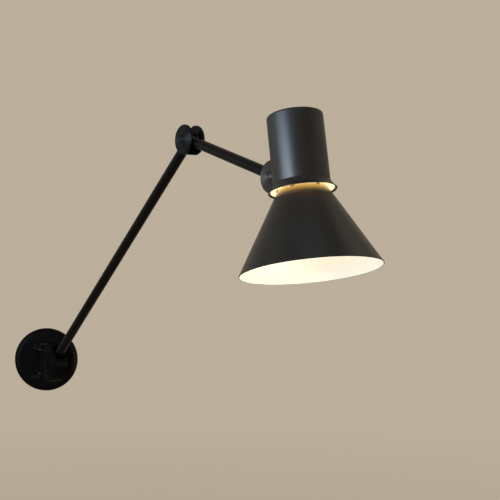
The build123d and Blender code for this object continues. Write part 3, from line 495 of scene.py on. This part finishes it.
COLLAR_R, COLLAR_LOW, COLLAR_SAG = 39.5, -27.8, 0.85
COLLAR_GAP = 0.05       # between the collar and the housing
SLEEVE_OUT = HOUSING_R - SHEET - COLLAR_GAP
SLEEVE_IN = SLEEVE_OUT - SHEET
SLEEVE_LENGTH = 7.5
SLEEVE_TOP = HOUSING_LOW + SLEEVE_LENGTH
LIP_WIDTH = 1.3 * SHEET
LIP_HEIGHT = 1.3        # black edge of the collar's inside
LIP_IN = COLLAR_R - LIP_WIDTH
SAG_STEPS = 10


def sagged(start, end):
    """Points on an arc between two points of the collar, bowed towards the axis."""
    a, b = Vector(start), Vector(end)
    chord = b - a
    side = Vector((-abs(chord.y), -abs(chord.x))).normalized() * COLLAR_SAG
    points = []
    for step in range(1, SAG_STEPS):
        t = step / SAG_STEPS
        points.append(tuple(a + chord * t + side * 4 * t * (1 - t)) + (0,))
    return points


collar_outline = rounded(
    [(SLEEVE_IN, SLEEVE_TOP, 0.2), (SLEEVE_OUT, SLEEVE_TOP, 0.2)]
    + [(SLEEVE_OUT, HOUSING_LOW - COLLAR_GAP, 0), (HOUSING_R, HOUSING_LOW - COLLAR_GAP, 0.3)]
    + sagged((HOUSING_R, HOUSING_LOW), (COLLAR_R, COLLAR_LOW))
    + [(COLLAR_R, COLLAR_LOW, 0.5), (LIP_IN, COLLAR_LOW, 0.4)]
    + sagged((LIP_IN, COLLAR_LOW), (SLEEVE_IN, HOUSING_LOW))
    + [(SLEEVE_IN, HOUSING_LOW, 0)],
    steps=4,
)


def inside_collar(r, y):
    """1 on the collar's inside, which carries the painted glow, 0 outside and on its lip."""
    if y > HOUSING_LOW:
        return 1
    along = (y - HOUSING_LOW) / (COLLAR_LOW - HOUSING_LOW)
    middle = (SLEEVE_IN + HOUSING_R) / 2 * (1 - along) + (LIP_IN + COLLAR_R) / 2 * along
    return 1 if r < middle - SHEET / 4 and y > COLLAR_LOW + LIP_HEIGHT else 0


collar = lathe(
    "flared_collar_skin",
    collar_outline,
    SHADE,
    HEAD_SEGMENTS,
    (SHADE_BLACK, WHITE_COLLAR_PAINTED_GLOW),
    inside_collar,
)
stands_for(collar, "flared_collar")

# ---------------------------------------------------------------- rose
ROSE_R, ROSE_DEPTH, ROSE_RIM, ROSE_BEVEL, ROSE_SHEET = 50.0, 12.0, 6.0, 10.0, 1.5
ROSE_HOLE = 5.05        # for the yoke's stem
ROSE_RING = 20.0        # a ring of the flat face, so that its shading is even
ROSE_EDGE = 0.3         # small bevel at the wall


def shoulder(width, height, steps=12):
    """A quarter of an ellipse from the rose's rim to its face."""
    middle = ROSE_R - ROSE_BEVEL
    quarter = [math.pi / 2 * step / steps for step in range(steps + 1)]
    return [(middle + width * math.cos(a), ROSE_RIM + height * math.sin(a)) for a in quarter]


ROSE_BACK = ROSE_DEPTH - ROSE_SHEET
ROSE_IN = ROSE_R - ROSE_SHEET
rose_outline = [(ROSE_R, ROSE_EDGE), (ROSE_R, 1.0)]
rose_outline += shoulder(ROSE_BEVEL, ROSE_DEPTH - ROSE_RIM)
rose_outline += [(ROSE_RING, ROSE_DEPTH), (ROSE_HOLE, ROSE_DEPTH)]
rose_outline += [(ROSE_HOLE, ROSE_BACK), (ROSE_RING, ROSE_BACK)]
rose_outline += shoulder(ROSE_BEVEL - ROSE_SHEET, ROSE_BACK - ROSE_RIM)[::-1]
rose_outline += [(ROSE_IN, ROSE_EDGE), (ROSE_IN + ROSE_EDGE, 0.0), (ROSE_R - ROSE_EDGE, 0.0)]
rose = lathe("wall_rose_skin", rose_outline, WALL, ROSE_SEGMENTS, (ROSE_BLACK_PAINTED_SHADE,))
stands_for(rose, "wall_rose")

# ---------------------------------------------------------------- drums, yoke and arm ends
def softened(node, width):
    """A node's own form with its edges rounded, in the node's place."""
    piece = add_object(f"{node}_skin", NODES[node].data.copy())
    bevel = piece.modifiers.new("edge", "BEVEL")
    bevel.width = width * MM
    bevel.segments = 3
    bevel.limit_method = "ANGLE"
    bevel.angle_limit = SHARP
    bevel.harden_normals = True
    bevel.use_clamp_overlap = True
    stands_for(piece, node)


for node, width in (
    ("base_knuckle", 0.5),
    ("elbow_knuckle", 0.4),
    ("head_knuckle", 0.4),
    ("pan_yoke", 0.6),
    ("lower_arm_root", 0.3),
    ("upper_arm_root", 0.3),
    ("upper_arm_tip", 0.3),
):
    softened(node, width)

# ---------------------------------------------------------------- floor, background and light
BACKGROUND = (0.5, 0.43, 0.33)
WORLD_TINT = (1.0, 0.93, 0.82)
WORLD_STRENGTH = 0.05
FLOOR_RADIUS = 9.0
FLOOR_MIDDLE = (0.2, -0.3, -0.75)
FLOOR_FADE = (0.6, 4.0)     # where the floor turns into the background, in metres

floor = add_object("floor", bpy.data.meshes.new("floor"))
bm = bmesh.new()
bmesh.ops.create_circle(bm, cap_ends=True, radius=FLOOR_RADIUS, segments=96)
bm.to_mesh(floor.data)
bm.free()
floor.location = FLOOR_MIDDLE


def sees_background(tree):
    """1 for the rays that show the plain background: seen, mirrored or through glass."""
    path = tree.nodes.new("ShaderNodeLightPath")
    found = path.outputs["Is Camera Ray"]
    for kind in ("Is Glossy Ray", "Is Transmission Ray"):
        either = tree.nodes.new("ShaderNodeMath")
        either.operation = "MAXIMUM"
        tree.links.new(found, either.inputs[0])
        tree.links.new(path.outputs[kind], either.inputs[1])
        found = either.outputs["Value"]
    return found


ground = Nodes("pale_floor")
ground_cloud = ground.noise(0.4, 2.0)
ground.link(
    ground.ramp(ground_cloud, (0.3, BACKGROUND), (0.7, tuple(c * 1.04 for c in BACKGROUND))),
    ground.bsdf.inputs["Base Color"],
)
ground.bsdf.inputs["Roughness"].default_value = 0.9
glow = ground.add("ShaderNodeEmission")
ground.set(glow, Color=(*BACKGROUND, 1.0), Strength=1.0)
mix = ground.add("ShaderNodeMixShader")
distance = ground.add("ShaderNodeVectorMath", operation="LENGTH")
ground.link(ground.coords(), distance.inputs[0])
share = ground.add("ShaderNodeMath", operation="MULTIPLY")
ground.link(sees_background(ground.tree), share.inputs[0])
ground.link(ground.spread(distance.outputs["Value"], 0.8, 1.0, *FLOOR_FADE), share.inputs[1])
ground.link(share.outputs["Value"], mix.inputs["Fac"])
ground.link(ground.bsdf.outputs["BSDF"], mix.inputs[1])
ground.link(glow.outputs["Emission"], mix.inputs[2])
ground.link(mix.outputs["Shader"], ground.out.inputs["Surface"])
floor.data.materials.append(ground.mat)

world = bpy.data.worlds.new("studio")
bpy.context.scene.world = world
world.use_nodes = True
tree = world.node_tree
tree.nodes.clear()
seen = tree.nodes.new("ShaderNodeBackground")
seen.inputs["Color"].default_value = (*BACKGROUND, 1.0)
lit = tree.nodes.new("ShaderNodeBackground")
lit.inputs["Color"].default_value = (*WORLD_TINT, 1.0)
lit.inputs["Strength"].default_value = WORLD_STRENGTH
choice = tree.nodes.new("ShaderNodeMixShader")
world_out = tree.nodes.new("ShaderNodeOutputWorld")
tree.links.new(sees_background(tree), choice.inputs["Fac"])
tree.links.new(lit.outputs["Background"], choice.inputs[1])
tree.links.new(seen.outputs["Background"], choice.inputs[2])
tree.links.new(choice.outputs["Shader"], world_out.inputs["Surface"])


def add_lamp(name, kind, location, power, colour):
    light = bpy.data.lights.new(name, kind)
    light.energy = power
    light.color = colour
    lamp = add_object(name, light)
    lamp.location = location
    return lamp


def softbox(name, location, target, size, power, colour, spread=180.0):
    """A rectangular lamp that faces its target; its spread is in degrees."""
    lamp = add_lamp(name, "AREA", location, power, colour)
    lamp.data.spread = math.radians(spread)
    lamp.data.shape = "RECTANGLE"
    lamp.data.size, lamp.data.size_y = size
    lamp.rotation_mode = "QUATERNION"
    lamp.rotation_quaternion = (Vector(target) - Vector(location)).to_track_quat("-Z", "Y")


HEAD_MIDDLE = Vector((0.37, -0.54, 0.25))
LAMP_DISTANCE = 2.3
WINDOW_BLUE = (0.7, 0.85, 1.0)
SKY = (0.6, 0.8, 1.0)


def from_head(bearing, height):
    """A place seen from the head: degrees left of straight out from the wall, and above level."""
    a, e = math.radians(bearing), math.radians(height)
    way = Vector((-math.sin(a) * math.cos(e), -math.cos(a) * math.cos(e), math.sin(e)))
    return HEAD_MIDDLE + way * LAMP_DISTANCE


WINDOW = (0.6, 1.2)
softbox("window_front", from_head(50, 6), HEAD_MIDDLE, WINDOW, 7.0, WINDOW_BLUE, 44.0)
softbox("window_side", from_head(72, 8), HEAD_MIDDLE, WINDOW, 3.0, WINDOW_BLUE, 44.0)
softbox("front_fill", from_head(0, 25), HEAD_MIDDLE, (2.0, 1.4), 2.5, SKY)
softbox("top_light", from_head(0, 60), HEAD_MIDDLE, (1.6, 1.2), 3.2, SKY)
softbox("right_top", from_head(-99, 42), HEAD_MIDDLE, (1.0, 1.0), 2.0, (1.0, 0.96, 0.88))
softbox("warm_light", from_head(-108, 6), HEAD_MIDDLE, WINDOW, 0.7, (1.0, 0.9, 0.76))
softbox("back_top", from_head(180, 38), HEAD_MIDDLE, (1.6, 1.2), 1.1, SKY)
softbox("left_side", from_head(113, 8), HEAD_POINT, (0.5, 1.2), 0.06, WINDOW_BLUE, 24.0)
softbox("right_low", from_head(-70, -8), BASE_POINT, (0.6, 0.6), 1.5, (1.0, 0.85, 0.62), 20.0)


def head_glow(name, spot, power, colour, size):
    """A small lamp at a place in the shade's frame, in millimetres, that moves with the head."""
    lamp = add_lamp(name, "POINT", SHADE @ (Vector(spot) * MM), power, colour)
    lamp.data.shadow_soft_size = size * MM
    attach(lamp, "head")


BULB_DROP = 84.0
head_glow("bulb_light", (0, -BULB_DROP, 0), 0.03, (1.0, 0.86, 0.62), 12.0)

GAP_LIGHTS, GAP_RADIUS, GAP_DROP = 12, 25.5, 10.0
for index in range(GAP_LIGHTS):
    turn = 2 * math.pi * (index + 0.5) / GAP_LIGHTS
    spot = (GAP_RADIUS * math.cos(turn), -GAP_DROP, GAP_RADIUS * math.sin(turn))
    head_glow(f"gap_light_{index}", spot, 0.012, (1.0, 0.62, 0.24), 2.0)

# ---------------------------------------------------------------- camera, fitted to the photo
LENS = 76.107
CAMERA_PLACE = (0.31001, -1.70741, 0.19682)
CAMERA_TURN = (-0.495, -0.499, -1.054)  # yaw, pitch and roll in degrees

camera_data = bpy.data.cameras.new("camera")
camera_data.sensor_width = 36.0
camera_data.lens = LENS
camera_data.clip_start = 0.05
camera_data.clip_end = 60.0
camera = add_object("camera", camera_data)
yaw, pitch, roll = (math.radians(a) for a in CAMERA_TURN)
look = Matrix.Rotation(yaw, 3, "Z") @ Matrix.Rotation(pitch, 3, "X") @ Matrix.Rotation(roll, 3, "Y")
right, forward, above = (look.col[i].copy() for i in range(3))
turn = Matrix((right, above, -forward)).transposed().to_4x4()
camera.matrix_world = Matrix.Translation(CAMERA_PLACE) @ turn
bpy.context.scene.camera = camera
bpy.context.scene.view_settings.view_transform = "Standard"
